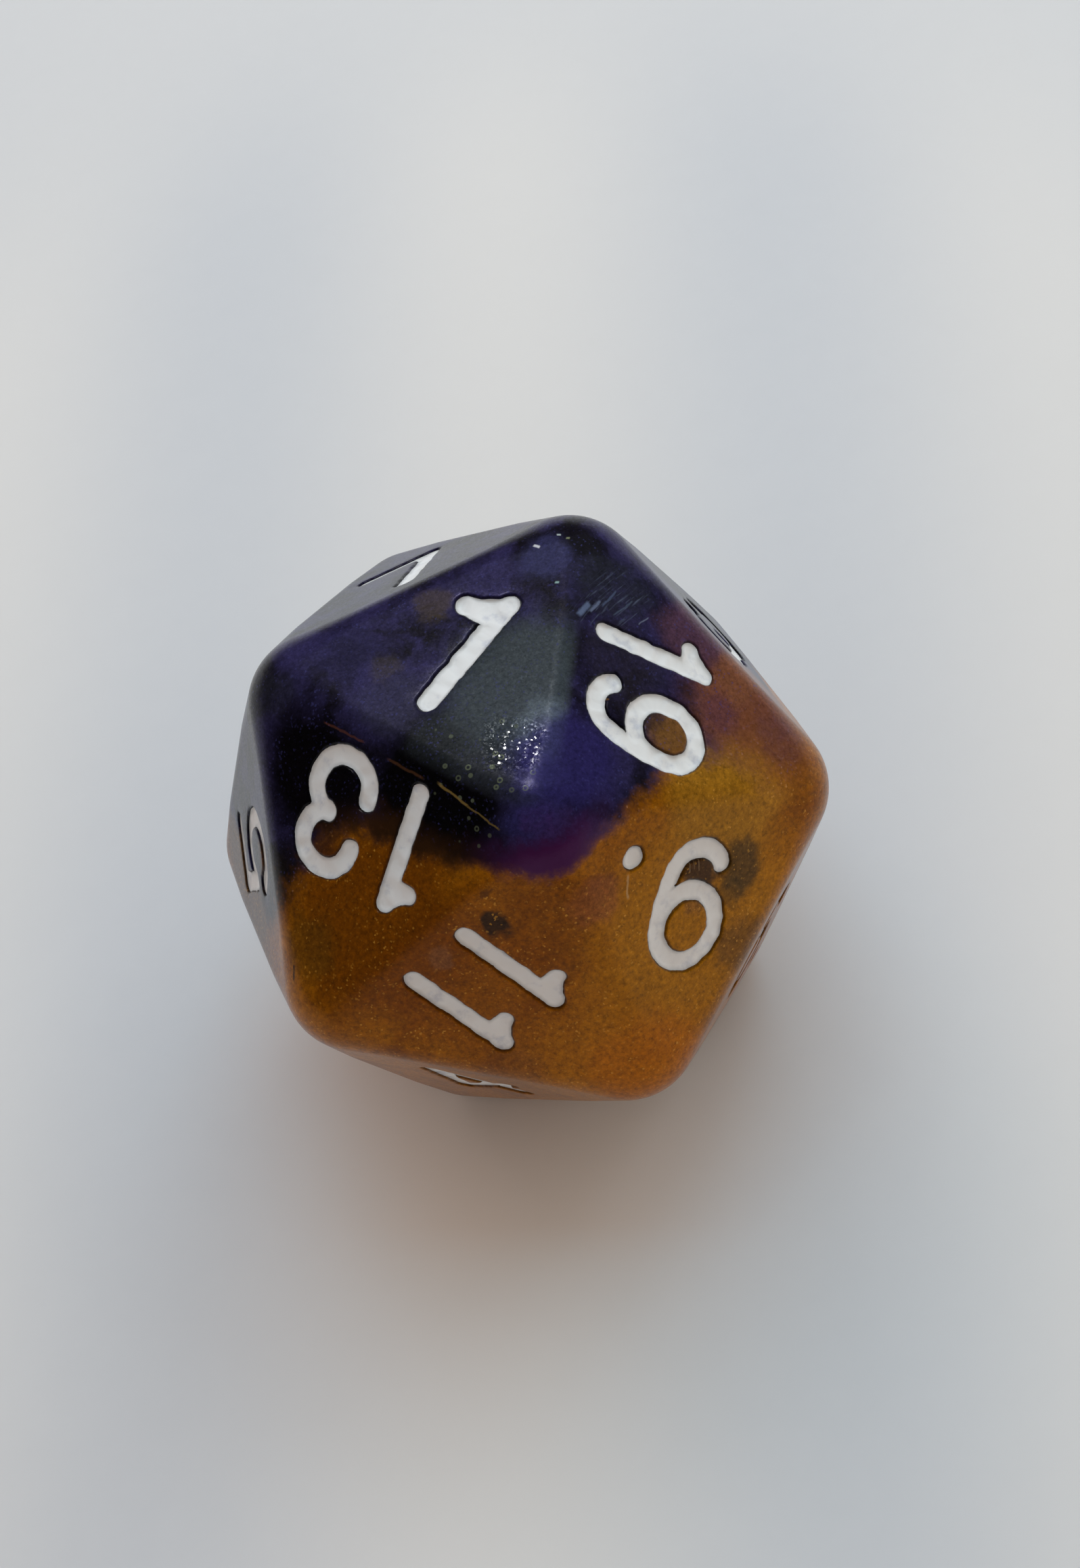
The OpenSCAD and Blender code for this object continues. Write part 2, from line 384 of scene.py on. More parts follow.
def loop_edges(loops, start=0):
    """Edges that close each loop, its points being numbered on from start."""
    edges = []
    for loop in loops:
        n = len(loop)
        edges += [(start + i, start + (i + 1) % n) for i in range(n)]
        start += n
    return edges


# ---------------------------------------------------------------- rounding of the blank

CORNER_TURNS = (90, 210, 330)
FACE_CORNERS = np.array([ring_point(RING_R, turn, IN_R) for turn in CORNER_TURNS])
TRACE_STEPS = 60
NORMAL_PROBE = 1e-4


def round_cone(p, a, b, ra, rb):
    """Distance to the hull of two balls."""
    ba, pa = b - a, p - a
    l2 = ba @ ba
    rr = ra - rb
    a2 = l2 - rr * rr
    y = pa @ ba
    z = y - l2
    x2 = ((pa * l2 - ba * y[:, None]) ** 2).sum(axis=1)
    y2, z2 = y * y * l2, z * z * l2
    k = np.sign(rr) * rr * rr * x2
    side = (np.sqrt(x2 * a2 / l2) + y * rr) / l2 - ra
    out = np.where(np.sign(y) * a2 * y2 < k, np.sqrt(x2 + y2) / l2 - ra, side)
    return np.where(np.sign(z) * a2 * z2 > k, np.sqrt(x2 + z2) / l2 - rb, out)


def rounding(p):
    """Distance to the rounded edges and corners next to one face."""
    def ball(corner, r):
        return corner * (IN_R - r) / IN_R, r

    best = np.full(len(p), FAR)
    for a, b in zip(FACE_CORNERS, np.roll(FACE_CORNERS, -1, axis=0)):
        balls = [ball(a, CORNER_R), ball(a + (b - a) * CORNER_BLEND, EDGE_R),
                 ball(a + (b - a) * (1 - CORNER_BLEND), EDGE_R), ball(b, CORNER_R)]
        for (c0, r0), (c1, r1) in zip(balls, balls[1:]):
            best = np.minimum(best, round_cone(p, c0, c1, r0, r1))
    return best


def drop_to_surface(plane_pts):
    """Slide points of the sharp face towards the die's centre onto the rounded surface."""
    p = np.column_stack([plane_pts, np.full(len(plane_pts), IN_R)])
    inward = -p / np.linalg.norm(p, axis=1, keepdims=True)
    for _ in range(TRACE_STEPS):
        p = p + inward * rounding(p)[:, None]
    normal = np.stack([rounding(p + NORMAL_PROBE * e) - rounding(p - NORMAL_PROBE * e)
                       for e in np.eye(3)], axis=-1)
    return p, normal / np.linalg.norm(normal, axis=1, keepdims=True)


def flat_outline():
    """Outline of the flat part of a face."""
    def flat_corner(r, turn):
        return ring_point(RING_R * (IN_R - r) / IN_R, turn, 0)[:2]

    outline = []
    for turn in CORNER_TURNS:
        here, there = flat_corner(EDGE_R, turn), flat_corner(EDGE_R, turn + 120)
        outline += [flat_corner(CORNER_R, turn), here + (there - here) * CORNER_BLEND,
                    there + (here - there) * CORNER_BLEND]
    return np.array(outline)


def side_distance(p, outline):
    """How far inside a convex anticlockwise outline each point is."""
    best = np.full(len(p), FAR)
    for a, b in zip(outline, np.roll(outline, -1, axis=0)):
        run = (b - a) / np.linalg.norm(b - a)
        best = np.minimum(best, (p - a) @ np.array([-run[1], run[0]]))
    return best


def resample(outline, spacing):
    pts = []
    for a, b in zip(outline, np.roll(outline, -1, axis=0)):
        n = max(1, int(round(np.linalg.norm(b - a) / spacing)))
        pts += [a + (b - a) * t / n for t in range(n)]
    return np.array(pts)


# ---------------------------------------------------------------- the body's mesh

LATTICE = 60    # steps of the lattice along a side of a face
COARSE = 3    # steps between the lattice points that the flat part uses
RIM_SPACING = 0.22    # between points on the outline of the flat part
# Room that the lattice leaves outside and inside that outline, and beside an engraving's lip
OUTER_ROOM, INNER_ROOM, LIP_ROOM = 0.05, 0.12, 0.1
# Heights along an engraving's lip and wall, as (distance from the outline, height)
LIP = ((0.12, 0.0), (0.06, -0.007), (0.02, -0.03), (-0.005, -0.07), (-0.02, -0.13), (-0.05, -0.46))
# Spacing of the points on those outlines, wider from WALL_LEVEL inwards
LIP_SPACING, WALL_SPACING, WALL_LEVEL = 0.085, 0.12, -0.03
# Distance from the outline at which the painted shade on a lip begins, and over which it grows
LIP_DARK_FROM, LIP_DARK_OVER = 0.055, 0.04
MERGE = 1e-6    # points nearer to each other than this are one


def lip_field(value):
    """Distance to a numeral's outline as it was cut, a little unevenly."""
    wobble, grain = Ripple(value, *OUTLINE_WOBBLE), Ripple(value, *OUTLINE_GRAIN)
    return lambda p: numeral(value, p) + wobble(p) + grain(p)


def lip_height(s):
    distances, heights = zip(*reversed(LIP))
    return np.interp(s, distances, heights)


def lattice_points():
    """Barycentric lattice over the sharp face, and its points' steps from the three sides."""
    corners = FACE_CORNERS[:, :2]
    pts, steps = [], []
    for i in range(LATTICE + 1):
        for j in range(LATTICE + 1 - i):
            k = LATTICE - i - j
            pts.append((i * corners[0] + j * corners[1] + k * corners[2]) / LATTICE)
            steps.append((i, j, k))
    return np.array(pts), steps


def border_key(value, steps):
    """Name of a lattice point on a face's border, the same from either face."""
    _, axes = face_axes(value)
    top, *low = NUMBERING[value]
    low.sort(key=lambda c: CORNERS[c] @ axes[0])
    weights = {c: w for c, w in zip((top, *low), steps) if w > 0}
    return None if len(weights) == 3 else tuple(sorted(weights.items()))


def triangulate(points, edges):
    out = delaunay_2d_cdt([Vector(p) for p in points], edges, [], 0, MERGE)
    verts = np.array([tuple(v) for v in out[0]])
    source = [o[0] if o else -1 for o in out[3]]
    return verts, np.array(out[2]), source


def turned(flat, tris):
    """The triangles with their corners anticlockwise."""
    return [(a, b, c) if np.cross(flat[b] - flat[a], flat[c] - flat[a]) > 0 else (a, c, b)
            for a, b, c in tris]


def blank_points():
    """Points of a face without a numeral: places in its plane, steps from its sides, whether
    they are on the rounding, and places and normals on the surface."""
    lattice, steps = lattice_points()
    inset = side_distance(lattice, flat_outline())
    keep = [min(step) == 0 or d < -OUTER_ROOM
            or (d > INNER_ROOM and step[0] % COARSE == 0 and step[1] % COARSE == 0)
            for step, d in zip(steps, inset)]
    flat, is_round = lattice[keep], inset[keep] < 0
    xyz = np.column_stack([flat, np.full(len(flat), IN_R)])
    normals = np.tile([0.0, 0.0, 1.0], (len(flat), 1))
    xyz[is_round], normals[is_round] = drop_to_surface(flat[is_round])
    return flat, [step for step, use in zip(steps, keep) if use], is_round, xyz, normals


def body_mesh():
    """The whole die with its engravings, face by face, joined along the faces' borders."""
    blank, steps, is_round, blank_xyz, blank_normals = blank_points()
    rim = resample(flat_outline(), RIM_SPACING)
    verts, normals, edge_shade, faces, shared = [], [], [], [], {}
    for value in FACES:
        field = lip_field(value)
        _, axes = face_axes(value)
        kept = np.flatnonzero((field(blank) > LIP[0][0] + LIP_ROOM) | is_round)
        loops = [rim]
        for level, _ in LIP:
            spacing = LIP_SPACING if level > WALL_LEVEL else WALL_SPACING
            loops += contour_loops(field, level, spacing)
        flat, tris, source = triangulate(np.vstack([blank[kept], *loops]),
                                         loop_edges(loops, len(kept)))
        s = field(flat)
        grad = gradient(field, flat)
        slope = (lip_height(s + PROBE) - lip_height(s - PROBE)) / (2 * PROBE)
        # How much painted shade each point gets, growing from the lip into the wall
        dark = np.clip((LIP_DARK_FROM - s) / LIP_DARK_OVER, 0, 1)
        ids, sides = [], []
        for n, (xy, src) in enumerate(zip(flat, source)):
            if 0 <= src < len(kept):
                row = kept[src]
                xyz, normal = blank_xyz[row], blank_normals[row]
                key = border_key(value, steps[row])
                sides.append({side for side, step in enumerate(steps[row]) if step == 0})
            else:
                xyz = np.array([xy[0], xy[1], IN_R + lip_height(s[n])])
                normal = np.array([-slope[n] * grad[n, 0], -slope[n] * grad[n, 1], 1.0])
                normal /= np.linalg.norm(normal)
                key = None
                sides.append(set())
            if key in shared:
                ids.append(shared[key])
                continue
            ids.append(len(verts))
            verts.append(xyz @ axes)
            normals.append(normal @ axes)
            edge_shade.append(dark[n])
            if key:
                shared[key] = ids[n]
        # Three points of one straight side make no face
        faces += [(ids[a], ids[b], ids[c]) for a, b, c in turned(flat, tris)
                  if not sides[a] & sides[b] & sides[c]]
    return np.array(verts), np.array(normals), faces, edge_shade


def make_object(name, verts, faces, edge_shade, normals=None, sharp=()):
    """A mesh object, with how near each point is to the edge of a numeral, from 0 to 1, for
    painted shade.
    """
    mesh = bpy.data.meshes.new(name)
    mesh.from_pydata([tuple(v) for v in to_metres(verts)], [], [tuple(map(int, f)) for f in faces])
    mesh.update()
    mesh.polygons.foreach_set("use_smooth", [True] * len(mesh.polygons))
    if sharp:
        wanted = {tuple(sorted(map(int, e))) for e in sharp}
        for edge in mesh.edges:
            if tuple(sorted(edge.vertices)) in wanted:
                edge.use_edge_sharp = True
    if normals is not None:
        mesh.normals_split_custom_set_from_vertices([tuple(n) for n in normals])
    attribute = mesh.attributes.new("edge_shade", "FLOAT", "POINT")
    attribute.data.foreach_set("value", [float(e) for e in edge_shade])
    obj = bpy.data.objects.new(name, mesh)
    bpy.context.scene.collection.objects.link(obj)
    return obj


# ---------------------------------------------------------------- the ink

INK_EDGE = -0.022    # distance of the ink's rim from the engraving's outline
INK_LEVELS = (INK_EDGE, -0.055, -0.1, -0.16, -0.25)
RIM_SLACK, NOTCH_SLACK = 0.002, 0.02    # how far outside the rim a triangle's middle may lie
INK_TOP, INK_BOTTOM = 0.085, 0.44    # depths of the rim and the underside
SAG, SAG_OVER = 0.075, 0.11    # how much deeper the middle is, and over which distance
SMOOTH_RIM, INK_SHADE_WIDTH = 0.1, 0.12    # widths of the strip where lumps grow, and of the painted shade along the ink's rim
NOTCH_PASSES = 2


def rim_edges(flat, tris):
    """Edges that belong to one triangle only, in the order in which they are met."""
    directed = dict.fromkeys(
        e for a, b, c in turned(flat, tris) for e in ((a, b), (b, c), (c, a)))
    return [(a, b) for a, b in directed if (b, a) not in directed]


def ink_mesh(value):
    """Ink that clings to the wall of its engraving and sags towards the middle."""
    ragged, lumps, grain = (Ripple(value, *kind) for kind in (INK_RAGGED, INK_LUMPS, INK_GRAIN))
    groove = lip_field(value)

    def field(p):
        return groove(p) + ragged(p)

    loops = [loop for level in INK_LEVELS for loop in contour_loops(field, level, LIP_SPACING)]
    flat, tris, _ = triangulate(np.vstack(loops), loop_edges(loops))
    middles = field(flat[tris].mean(axis=1))
    inside = middles < INK_EDGE + RIM_SLACK
    for _ in range(NOTCH_PASSES):
        # Fill the notches that would let the rim touch itself at a point
        starts = Counter(a for a, _ in rim_edges(flat, tris[inside]))
        pinched = [a for a, count in starts.items() if count > 1]
        inside |= (middles < INK_EDGE + NOTCH_SLACK) & np.isin(tris, pinched).any(axis=1)
    tris = tris[inside]
    s = np.maximum(INK_EDGE - field(flat), 0)
    top = -INK_TOP - SAG * (1 - np.exp(-s / SAG_OVER))
    top += (lumps(flat) + grain(flat)) * np.minimum(s / SMOOTH_RIM, 1)
    _, axes = face_axes(value)
    upper = np.column_stack([flat, IN_R + top]) @ axes
    lower = np.column_stack([flat, np.full(len(flat), IN_R - INK_BOTTOM)]) @ axes
    faces, n = [], len(flat)
    for a, b, c in turned(flat, tris):
        faces += [(a, b, c), (a + n, c + n, b + n)]
    rim = rim_edges(flat, tris)
    faces += [(b, a, a + n, b + n) for a, b in rim]
    # The last item sets painted shade along the ink's rim
    return np.vstack([upper, lower]), faces, rim, np.tile(np.clip(1 - s / INK_SHADE_WIDTH, 0, 1), 2)


# ---------------------------------------------------------------- material nodes

class Nodes:
    """Builds one material's node tree. Places are in millimetres from the die's centre."""

    def __init__(self, name):
        self.material = bpy.data.materials.new(name)
        self.material.use_nodes = True
        self.tree = self.material.node_tree
        self.tree.nodes.clear()
        self.out = self.add("ShaderNodeOutputMaterial")
        self.shader = self.add("ShaderNodeBsdfPrincipled")
        self.tree.links.new(self.shader.outputs[0], self.out.inputs["Surface"])
        place = self.add("ShaderNodeTexCoord").outputs["Object"]
        centred = self.vector("SUBTRACT", place, tuple(CENTRE * MM))
        self.place = self.vector("SCALE", centred, scale=1 / MM)

    def add(self, kind, **settings):
        node = self.tree.nodes.new(kind)
        for key, val in settings.items():
            setattr(node, key, val)
        return node

    def feed(self, socket, val):
        if isinstance(val, bpy.types.NodeSocket):
            self.tree.links.new(val, socket)
        elif val is not None:
            if socket.type == "RGBA" and len(val) == 3:
                val = (*val, 1)
            socket.default_value = val

    def math(self, op, a, b=None, c=None, clamp=False):
        node = self.add("ShaderNodeMath", operation=op, use_clamp=clamp)
        for socket, val in zip(node.inputs, (a, b, c)):
            self.feed(socket, val)
        return node.outputs[0]

    def times(self, *factors):
        total = factors[0]
        for factor in factors[1:]:
            total = self.math("MULTIPLY", total, factor)
        return total

    def vector(self, op, a, b=None, scale=None):
        node = self.add("ShaderNodeVectorMath", operation=op)
        self.feed(node.inputs[0], a)
        self.feed(node.inputs[1], b)
        self.feed(node.inputs[3], scale)
        return node.outputs["Value" if op in ("DOT_PRODUCT", "DISTANCE") else "Vector"]

    def ramp(self, val, low, high, to_low=0.0, to_high=1.0, smooth=True):
        kind = "SMOOTHSTEP" if smooth else "LINEAR"
        node = self.add("ShaderNodeMapRange", interpolation_type=kind)
        for key, x in (("Value", val), ("From Min", low), ("From Max", high),
                       ("To Min", to_low), ("To Max", to_high)):
            self.feed(node.inputs[key], x)
        return node.outputs[0]

    def noise(self, place, scale, detail, rough, warp=0.0, colour=False):
        node = self.add("ShaderNodeTexNoise")
        for key, x in (("Vector", place), ("Scale", scale), ("Detail", detail),
                       ("Roughness", rough), ("Distortion", warp)):
            self.feed(node.inputs[key], x)
        return node.outputs["Color" if colour else "Fac"]

    def cells(self, place, scale, out="Color"):
        node = self.add("ShaderNodeTexVoronoi")
        self.feed(node.inputs["Vector"], place)
        self.feed(node.inputs["Scale"], scale)
        return node.outputs[out]

    def mix(self, fac, a, b, blend="MIX"):
        node = self.add("ShaderNodeMix", data_type="RGBA", blend_type=blend)
        self.feed(node.inputs[0], fac)
        self.feed(node.inputs[6], a)
        self.feed(node.inputs[7], b)
        return node.outputs[2]

    def shade(self, colour, grey):
        return self.mix(1.0, colour, grey, "MULTIPLY")

    def near(self, where, radius, place=None):
        """1 at a point, falling smoothly to 0 at radius."""
        gap = self.vector("DISTANCE", place or self.place, tuple(where))
        return self.ramp(gap, radius, 0.0)

    def edge_shade(self, strength):
        """Grey that dims a colour by strength at the edge of a numeral: painted shade."""
        node = self.add("ShaderNodeAttribute", attribute_name="edge_shade")
        return self.math("MULTIPLY_ADD", node.outputs["Fac"], -strength, 1.0)

    def part(self, colour, channel):
        node = self.add("ShaderNodeSeparateColor")
        self.feed(node.inputs[0], colour)
        return node.outputs[channel]

    def set(self, **values):
        for key, val in values.items():
            self.feed(self.shader.inputs[key.replace("_", " ")], val)


def srgb(r, g, b):
    """A colour given as sRGB levels from 0 to 255."""
    def lin(v):
        v /= 255
        return v / 12.92 if v <= 0.04045 else ((v + 0.055) / 1.055) ** 2.4
    return (lin(r), lin(g), lin(b))


# ---------------------------------------------------------------- the resin and the ink

MID_GREY = (0.5, 0.5, 0.5)
LIP_SHADE, INK_RIM_SHADE = 0.6, 0.38    # how much painted shade darkens the lips and the ink's rim
# The pigments meet near a plane, with purple on the side that PURPLE_SIDE points to. The
# border wanders from it by these distances at these places: (face, x, y, distance)
PURPLE_SIDE = (0.154, 0.553, 0.819)
PURPLE_START = 2.5
BORDER_REACH = 3.0    # radius within which one of the places counts
PLANE_WEIGHT = 0.25    # what the plane counts for everywhere, against 1 at a place
# Frayings of the border: (scale, size)
FRAYS = ((0.5, 0.9), (1.7, 0.8), (6.0, 0.22))
BORDER = (
    (19, 0.9, 5.5, -1.5), (19, 0.9, 2.8, 0.6), (19, 2.6, -0.1, 1.2), (19, 5.0, -1.1, 0.6),
    (9, 2.6, -3.8, 0.2), (9, 4.2, -2.7, -0.3), (9, 5.6, -2.0, -0.6), (11, -4.6, -2.5, -0.7),
    (11, -3.6, -3.8, -0.2), (13, -5.5, -1.5, -0.1), (13, -4.0, -1.1, 0.2), (13, -2.5, -0.9, 0.6),
    (13, 0.0, -1.0, 1.7), (13, 1.6, -0.2, 1.6), (13, 2.4, 1.0, 0.9), (13, 2.4, 2.6, -0.9),
    (13, 2.2, 4.4, -1.6), (5, -3.4, -2.0, -3.6), (5, -1.6, 1.0, -2.4), (5, 0.4, 3.6, -0.6),
)
# Clouds in each pigment, a few of them painted reflection: (face, x, y, radius, strength, red,
# green, blue)
PURPLE_CLOUDS = (
    (13, -2.4, -2.8, 4.4, 1.0, 8, 6, 8), (13, 2.6, -1.4, 3.4, 1.0, 9, 6, 10),
    (13, 5.4, -3.2, 1.5, 0.5, 40, 40, 52), (13, -6.2, -3.4, 1.6, 0.8, 46, 42, 92),
    (11, -6.4, -4.0, 1.3, 0.5, 60, 30, 84), (9, 5.6, -3.2, 1.5, 0.5, 56, 36, 84),
    (1, -3.6, -1.9, 1.9, 0.5, 42, 38, 76), (1, -1.0, -2.6, 1.8, 0.5, 46, 45, 62),
    (1, 4.4, -3.6, 3.2, 0.9, 36, 38, 44), (1, 1.6, -3.2, 2.0, 0.7, 34, 37, 40),
    # On face 1, the clouds at (2.6, 0.2) and (4.5, -0.8) are grey-green painted reflection near
    # its right-hand edge
    (1, 2.6, 0.2, 4.2, 0.95, 54, 60, 64), (1, 4.5, -0.8, 1.9, 0.85, 84, 93, 100),
    (1, -2.3, 1.4, 1.0, 0.5, 72, 60, 34), (1, -2.1, -1.6, 0.8, 0.35, 68, 60, 38),
    (1, 0.0, 4.9, 1.5, 0.7, 52, 52, 90), (19, -1.2, 4.4, 5.0, 1.0, 112, 66, 48),
    (19, 1.4, 0.7, 1.7, 0.9, 118, 80, 36), (19, -3.2, 0.9, 2.2, 0.8, 84, 56, 72),
    (19, -0.4, 5.0, 1.6, 0.8, 92, 56, 58), (19, -0.4, 2.6, 1.3, 0.7, 92, 54, 60),
    (19, -2.2, 3.0, 1.6, 0.6, 122, 76, 50), (19, 0.8, -0.6, 1.0, 0.6, 58, 42, 36),
    (19, 4.0, -3.4, 2.8, 0.85, 40, 34, 86), (19, -3.6, -2.4, 2.2, 0.5, 44, 46, 58),
    (19, -0.6, -1.6, 2.4, 0.6, 38, 34, 44), (13, 2.6, 3.6, 2.8, 0.95, 24, 18, 16),
)
GOLD_CLOUDS = (
    (13, -1.8, 2.6, 5.6, 0.95, 112, 60, 0), (13, 2.2, 0.6, 2.0, 0.75, 58, 31, 20),
    (9, -0.5, 0.6, 6.4, 0.8, 154, 100, 12), (9, -1.6, -3.9, 3.4, 0.6, 172, 120, 34),
    (19, 3.0, 2.6, 3.4, 0.7, 142, 96, 20), (9, 4.0, -0.6, 1.5, 0.5, 122, 68, 44),
    (11, 0.6, -1.0, 4.8, 0.6, 116, 60, 0), (9, 0.6, 6.2, 3.6, 0.6, 168, 94, 6),
    (9, -2.2, -1.1, 1.5, 0.85, 70, 52, 26), (9, -1.7, -0.3, 0.9, 0.6, 76, 56, 26),
    (9, -0.4, -1.3, 1.3, 0.9, 50, 33, 22), (9, -2.6, 1.9, 1.7, 0.6, 86, 58, 28),
    (9, -0.2, -0.1, 0.7, 0.35, 92, 62, 48), (11, -2.0, -2.1, 0.75, 0.9, 36, 26, 18),
    (11, -0.9, -1.5, 0.45, 0.7, 44, 26, 14), (11, -2.9, -3.1, 0.3, 0.6, 60, 34, 16),
    (11, 0.2, -2.6, 0.8, 0.3, 126, 92, 70), (13, 0.6, 4.4, 1.8, 0.5, 92, 62, 14),
    # On face 5, the tan cloud is partly the gold's own tone and partly painted reflection of the
    # sheet
    (11, 2.6, 2.6, 1.8, 0.35, 110, 66, 34), (5, -0.6, 1.6, 6.0, 0.85, 78, 62, 50),
)
# Scratches and nicks, some with painted glints: (face, x0, y0, x1, y1, half-width, strength, red,
# green, blue)
MARKS = (
    (13, 2.9, -3.2, 1.0, -3.25, 0.04, 0.5, 104, 60, 44),
    (13, 0.0, -3.1, -1.7, -3.1, 0.05, 0.5, 92, 58, 34),
    (13, -2.2, -3.2, -3.7, -2.95, 0.045, 0.8, 128, 104, 54),
    (13, -3.6, -2.95, -5.1, -2.75, 0.035, 0.7, 120, 98, 50),
    (19, -1.9, -3.6, -2.5, -3.3, 0.10, 0.7, 104, 118, 150),
    (19, -2.2, -3.2, -2.8, -2.9, 0.05, 0.6, 118, 130, 160),
    (19, -2.6, -2.8, -3.5, -2.3, 0.04, 0.5, 90, 104, 136),
    (19, -2.4, -2.3, -3.4, -1.6, 0.03, 0.5, 84, 98, 118),
    (19, -2.5, -1.3, -3.0, -0.9, 0.025, 0.7, 110, 116, 138),
    (9, 2.86, -1.4, 2.76, -0.5, 0.045, 0.45, 196, 160, 112),
    (9, 0.17, -1.75, 0.09, -1.1, 0.02, 0.5, 150, 124, 92),
    (9, 0.0, -1.75, -0.08, -1.2, 0.015, 0.35, 150, 124, 92),
    (9, -0.23, -1.72, -0.31, -1.1, 0.02, 0.5, 150, 124, 92),
    (13, 1.08, 5.3, 0.92, 5.85, 0.035, 0.9, 22, 14, 8),
    # Nicks near face 1's upper corner, painted as bright glints
    (1, -0.66, 5.2, -0.44, 5.24, 0.05, 0.9, 214, 214, 220),
    (1, -0.2, 6.0, -0.1, 6.05, 0.04, 0.8, 180, 190, 190),
    (1, 0.18, 6.05, 0.26, 6.1, 0.04, 0.7, 150, 156, 120),
    (1, 1.02, 4.25, 1.1, 4.3, 0.05, 0.8, 150, 180, 176),
    (19, 0.9, -2.2, 1.0, -2.1, 0.05, 0.8, 150, 100, 40),
)
# Patches of scuffing: (face, x, y, radius, turn of the streaks in degrees)
SCUFFS = ((19, -3.1, -2.2, 1.8, 146), (19, -2.2, -3.3, 1.1, 155))
# Fringes of the purple: (face, x, y, radius, distances at which it begins, is full, begins to
# fade and ends, strength, red, green, blue)
FRINGES = (
    (9, 6.4, -2.6, 3.6, -0.45, 0.1, 0.3, 1.3, 1.3, 66, 22, 70),
    (13, -1.6, -0.6, 5.2, -0.5, 0.1, 0.1, 1.1, 1.1, 50, 29, 12),
)
# Groups of tiny bubbles that the polishing cut through: (face, x, y, radius)
BUBBLES = ((13, -4.0, -3.4, 2.6), (1, 2.8, -2.8, 2.4))
BUBBLE_SCALE, BUBBLE_R = 2.3, 0.19
FLAKE_SCALE = 15.0
SPOT_CORE = 0.6    # a soft spot is at full strength where near() is above this


def drift(m, scale, reach):
    """A smooth shift that wanders from place to place."""
    field = m.noise(m.place, scale, 3, 0.55, colour=True)
    return m.vector("SCALE", m.vector("SUBTRACT", field, MID_GREY), scale=reach)


def border_side(m):
    """Distance from the pigments' border, positive in the purple."""
    side = m.math("SUBTRACT", m.vector("DOT_PRODUCT", m.place, PURPLE_SIDE), PURPLE_START)
    total, weight = 0.0, PLANE_WEIGHT
    for value, x, y, shift in BORDER:
        pull = m.near(on_face(value, x, y), BORDER_REACH)
        total = m.math("MULTIPLY_ADD", pull, shift, total)
        weight = m.math("ADD", weight, pull)
    side = m.math("SUBTRACT", side, m.math("DIVIDE", total, weight))
    for scale, size in FRAYS:
        fray = m.math("SUBTRACT", m.noise(m.place, scale, 3, 0.55), 0.5)
        side = m.math("MULTIPLY_ADD", fray, size, side)
    return side


def clouds(m, colour, patches, place, top):
    for value, x, y, radius, strength, *rgb in patches:
        spot = m.ramp(m.near(on_face(value, x, y), radius, place), 0.0, SPOT_CORE)
        spot = m.times(spot, strength)
        if value == 1:
            spot = m.times(spot, top)
        colour = m.mix(spot, colour, srgb(*rgb))
    return colour


def across(m, value, x, y, turn, place):
    """Distances along and across a line on a face, from one of its points."""
    _, axes = face_axes(value)
    a = math.radians(turn)
    along = math.cos(a) * axes[0] + math.sin(a) * axes[1]
    rel = m.vector("SUBTRACT", place, tuple(on_face(value, x, y)))
    return (m.vector("DOT_PRODUCT", rel, tuple(along)),
            m.vector("DOT_PRODUCT", rel, tuple(np.cross(axes[2], along))))


def pigments(m, place):
    """The gold and the purple, each with its clouds and the grain of its mica."""
    # The clouds of face 1 end where its edges begin to round
    top = m.ramp(m.vector("DOT_PRODUCT", m.place, (0, 0, 1)), IN_R - 0.3, IN_R - 0.08)
    flow = m.noise(m.vector("MULTIPLY", place, (0.5, 1.3, 0.7)), 0.5, 5, 0.6, 0.6)
    gold = m.mix(m.ramp(flow, 0.3, 0.7), srgb(120, 66, 0), srgb(160, 98, 8))
    gold = clouds(m, gold, GOLD_CLOUDS, place, top)
    haze = m.noise(place, 0.45, 5, 0.6, 0.5)
    purple = m.mix(m.ramp(haze, 0.36, 0.66), srgb(19, 16, 24), srgb(45, 40, 77))
    purple = clouds(m, purple, PURPLE_CLOUDS, place, top)

    sand = m.noise(m.place, 5.0, 4, 0.85)
    gold = m.shade(gold, m.ramp(sand, 0.28, 0.72, 0.46, 1.6, smooth=False))
    dust = m.noise(m.place, 6.0, 5, 0.85)
    purple = m.shade(purple, m.ramp(dust, 0.25, 0.75, 0.40, 1.7, smooth=False))
    return gold, purple


